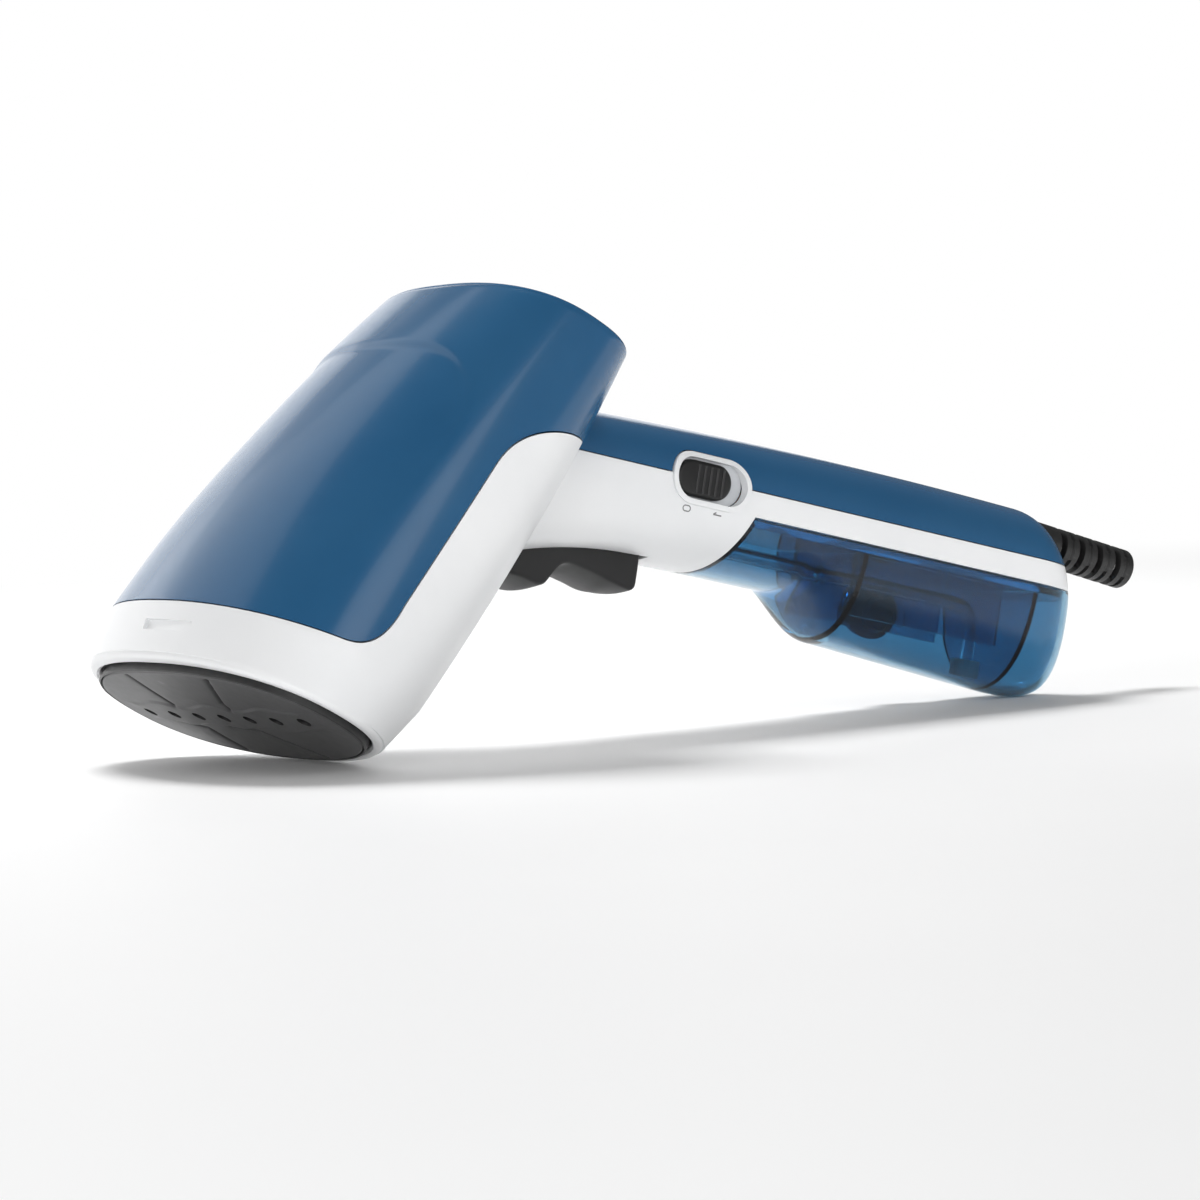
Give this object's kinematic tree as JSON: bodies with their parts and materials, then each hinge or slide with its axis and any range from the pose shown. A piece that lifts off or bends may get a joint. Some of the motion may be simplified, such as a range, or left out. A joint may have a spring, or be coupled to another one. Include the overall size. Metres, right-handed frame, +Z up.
{
  "type": "handheld garment steamer",
  "caption": "Handheld garment steamer: oval steam head with a drilled soleplate, handle with slide switch and trigger, pull-off water tank under the handle.",
  "frame": {"origin": "middle of the underside of the bounding box, on the surface the steamer lies on", "axes": "+X along the surface from the head towards the cord end, +Y to the far side, away from the slide switch, +Z up"},
  "size_m": [0.3116, 0.1064, 0.1146],
  "materials": {
    "blue_plastic": "moulded, glossy, deep blue",
    "white_plastic": "moulded, satin gloss, cool white",
    "sole_coating": "dark grey non-stick coating, satin",
    "ring_plastic": "heat-proof black plastic, satin",
    "trigger_plastic": "black plastic, fine texture",
    "black_plastic": "black plastic, satin",
    "relief_rubber": "black flexible rubber",
    "grey_plastic": "light grey plastic",
    "dark_plastic": "dark engineering plastic",
    "tank_plastic": "clear blue tinted plastic, glossy",
    "clear_tube": "clear silicone tube",
    "cast_aluminium": "die cast, unpolished",
    "steel": "plain steel",
    "silicone": "brick red silicone rubber",
    "board_laminate": "green solder mask on laminate"
  },
  "bodies": {
    "root": {"head_top_shell": "blue_plastic", "handle_cover": "blue_plastic", "head_lower_shell": "white_plastic", "handle_body": "white_plastic", "soleplate": "sole_coating", "soleplate_ring": "ring_plastic", "trigger_switch": "black_plastic", "thermostat": "black_plastic", "strain_relief": "relief_rubber", "switch_plate": "grey_plastic", "terminal_block": "grey_plastic", "tank_coupling": "grey_plastic", "thermal_fuse": "grey_plastic", "head_chassis": "dark_plastic", "pump": "dark_plastic", "pump_driver": "dark_plastic", "switch_body": "dark_plastic", "relief_clamp": "dark_plastic", "boiler_hose": "clear_tube", "tank_hose": "clear_tube", "boiler_body": "cast_aluminium", "boiler_cover": "cast_aluminium", "standoff_1": "cast_aluminium", "standoff_2": "cast_aluminium", "heating_element": "steel", "boiler_screw_1": "steel", "boiler_screw_2": "steel", "chassis_screw_1": "steel", "chassis_screw_2": "steel", "neck_screw_1": "steel", "neck_screw_2": "steel", "cover_screw_1": "steel", "cover_screw_2": "steel", "clamp_screw_1": "steel", "clamp_screw_2": "steel", "trigger_pin": "steel", "trigger_spring": "steel", "boiler_gasket": "silicone", "pump_mount_1": "silicone", "pump_mount_2": "silicone", "coupling_seal": "silicone", "heater_lead_1": "silicone", "heater_lead_2": "silicone", "circuit_board": "board_laminate"},
    "trigger": {"trigger": "trigger_plastic"},
    "slider": {"switch_slider": "black_plastic"},
    "tank": {"water_tank": "tank_plastic", "tank_lid": "tank_plastic", "pickup_tube": "clear_tube", "pickup_filter": "grey_plastic"},
    "plug": {"filler_plug": "blue_plastic"}
  },
  "joints": [
    {"name": "trigger_pull", "type": "hinge", "parent": "root", "child": "trigger", "pos_m": [-0.04703, 0, 0.05528], "axis": [0, -1, 0], "range_deg": [0, 5.5], "stiffness_Nm_per_rad": 0.3, "springref_deg": -4.58, "deforming": ["trigger_spring"]},
    {"name": "switch_slide", "type": "slide", "parent": "root", "child": "slider", "axis": [0.9744, 0, -0.2248], "range_m": [0, 0.0044]},
    {"name": "tank_slide", "type": "slide", "parent": "root", "child": "tank", "axis": [0.9744, 0, -0.2248], "range_m": [0, 0.11]},
    {"name": "filler_plug_pull", "type": "slide", "parent": "tank", "child": "plug", "axis": [0, 1, 0], "range_m": [0, 0.012]}
  ]
}
